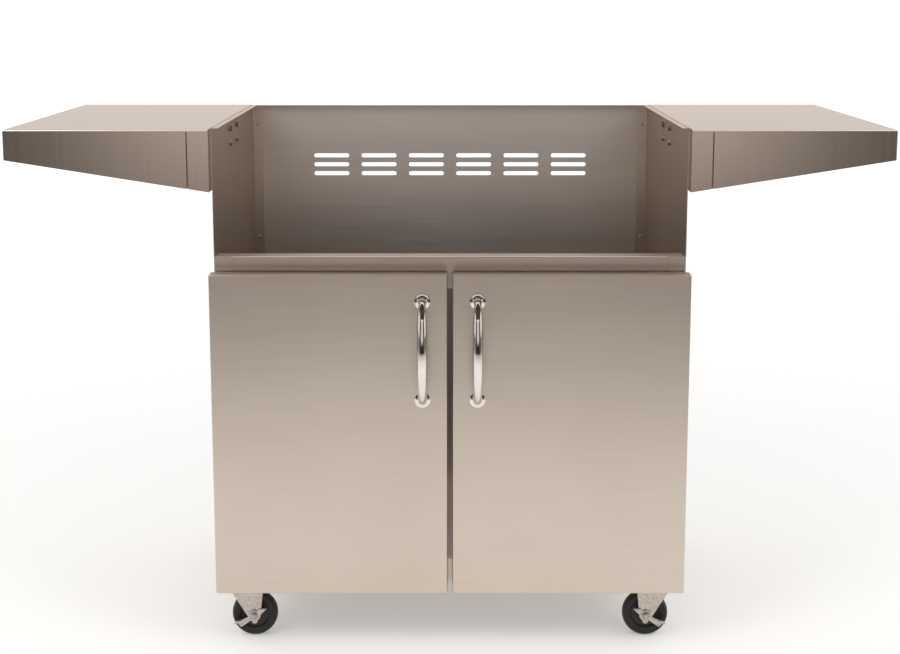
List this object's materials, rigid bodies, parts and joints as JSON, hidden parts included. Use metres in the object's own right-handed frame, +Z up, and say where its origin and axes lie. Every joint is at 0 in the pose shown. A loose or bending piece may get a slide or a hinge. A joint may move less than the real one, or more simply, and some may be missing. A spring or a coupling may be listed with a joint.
{
  "type": "grill cart",
  "caption": "Brushed steel cabinet on swivel casters with hinged doors, bow handles and sloping side shelves, open above to take a built-in grill.",
  "frame": {"origin": "on the floor under the middle of the bounding box", "axes": "+X to the right seen from the front, +Y from the doors to the back, +Z up"},
  "size_m": [1.46, 0.616, 0.9],
  "materials": {
    "stainless": "brushed, warm grey",
    "fastener_steel": "plain",
    "zinc": "zinc plated",
    "polished": "polished",
    "tyre": "matt black",
    "hub_plastic": "matt black",
    "catch_plastic": "matt black",
    "clamp_plastic": "matt black",
    "grommet_rubber": "matt black"
  },
  "bodies": {
    "cabinet": {"left_side_panel": "stainless", "right_side_panel": "stainless", "back_panel": "stainless", "floor_panel": "stainless", "left_base_rail": "stainless", "right_base_rail": "stainless", "front_base_rail": "stainless", "rear_base_rail": "stainless", "front_top_rail": "stainless", "tank_ring": "stainless", "left_shelf": "stainless", "right_shelf": "stainless", "left_shelf_bracket": "stainless", "right_shelf_bracket": "stainless", "left_shelf_stiffener": "stainless", "right_shelf_stiffener": "stainless", "panel_screws": "fastener_steel", "shelf_bolts": "fastener_steel", "hinge_frame_leaves": "fastener_steel", "hinge_pins": "fastener_steel", "caster_bolts": "fastener_steel", "gas_line_grommet": "grommet_rubber", "door_catches": "catch_plastic", "caster_top_plates": "zinc", "caster_kingpins": "zinc"},
    "left_door": {"left_door_skin": "stainless", "left_door_liner": "stainless", "left_strike_plate": "fastener_steel", "left_hinge_door_leaves": "fastener_steel", "left_handle": "polished", "left_handle_rosettes": "polished", "left_handle_screws": "fastener_steel"},
    "right_door": {"right_door_skin": "stainless", "right_door_liner": "stainless", "right_strike_plate": "fastener_steel", "right_hinge_door_leaves": "fastener_steel", "right_handle": "polished", "right_handle_rosettes": "polished", "right_handle_screws": "fastener_steel"},
    "tank_clamp": {"tank_clamp_screw": "clamp_plastic"},
    "front_left_swivel": {"front_left_fork": "zinc", "front_left_axle": "zinc"},
    "front_left_wheel": {"front_left_hub": "hub_plastic", "front_left_tyre": "tyre"},
    "front_left_brake": {"front_left_brake_lever": "zinc"},
    "front_right_swivel": {"front_right_fork": "zinc", "front_right_axle": "zinc"},
    "front_right_wheel": {"front_right_hub": "hub_plastic", "front_right_tyre": "tyre"},
    "front_right_brake": {"front_right_brake_lever": "zinc"},
    "rear_left_swivel": {"rear_left_fork": "zinc", "rear_left_axle": "zinc"},
    "rear_left_wheel": {"rear_left_hub": "hub_plastic", "rear_left_tyre": "tyre"},
    "rear_right_swivel": {"rear_right_fork": "zinc", "rear_right_axle": "zinc"},
    "rear_right_wheel": {"rear_right_hub": "hub_plastic", "rear_right_tyre": "tyre"}
  },
  "joints": [
    {"name": "left_door_hinge", "type": "hinge", "parent": "cabinet", "child": "left_door", "pos_m": [-0.395, -0.233, 0.3825], "axis": [0, 0, -1], "range_deg": [0, 110]},
    {"name": "right_door_hinge", "type": "hinge", "parent": "cabinet", "child": "right_door", "pos_m": [0.395, -0.233, 0.3825], "axis": [0, 0, 1], "range_deg": [0, 110]},
    {"name": "tank_clamp_slide", "type": "slide", "parent": "cabinet", "child": "tank_clamp", "axis": [0, 1, 0], "range_m": [0, 0.012]},
    {"name": "front_left_swivel_turn", "type": "hinge", "parent": "cabinet", "child": "front_left_swivel", "pos_m": [-0.362, -0.184, 0.098], "axis": [0, 0, 1], "continuous": true},
    {"name": "front_left_wheel_roll", "type": "hinge", "parent": "front_left_swivel", "child": "front_left_wheel", "pos_m": [-0.344, -0.184, 0.04], "axis": [0, 1, 0], "continuous": true},
    {"name": "front_left_brake_press", "type": "hinge", "parent": "front_left_swivel", "child": "front_left_brake", "pos_m": [-0.344, -0.184, 0.04], "axis": [0, 1, 0], "range_deg": [0, 25]},
    {"name": "front_right_swivel_turn", "type": "hinge", "parent": "cabinet", "child": "front_right_swivel", "pos_m": [0.362, -0.184, 0.098], "axis": [0, 0, 1], "continuous": true},
    {"name": "front_right_wheel_roll", "type": "hinge", "parent": "front_right_swivel", "child": "front_right_wheel", "pos_m": [0.344, -0.184, 0.04], "axis": [0, 1, 0], "continuous": true},
    {"name": "front_right_brake_press", "type": "hinge", "parent": "front_right_swivel", "child": "front_right_brake", "pos_m": [0.344, -0.184, 0.04], "axis": [0, -1, 0], "range_deg": [0, 25]},
    {"name": "rear_left_swivel_turn", "type": "hinge", "parent": "cabinet", "child": "rear_left_swivel", "pos_m": [-0.362, 0.263, 0.098], "axis": [0, 0, 1], "continuous": true},
    {"name": "rear_left_wheel_roll", "type": "hinge", "parent": "rear_left_swivel", "child": "rear_left_wheel", "pos_m": [-0.344, 0.263, 0.04], "axis": [0, 1, 0], "continuous": true},
    {"name": "rear_right_swivel_turn", "type": "hinge", "parent": "cabinet", "child": "rear_right_swivel", "pos_m": [0.362, 0.263, 0.098], "axis": [0, 0, 1], "continuous": true},
    {"name": "rear_right_wheel_roll", "type": "hinge", "parent": "rear_right_swivel", "child": "rear_right_wheel", "pos_m": [0.344, 0.263, 0.04], "axis": [0, 1, 0], "continuous": true}
  ]
}
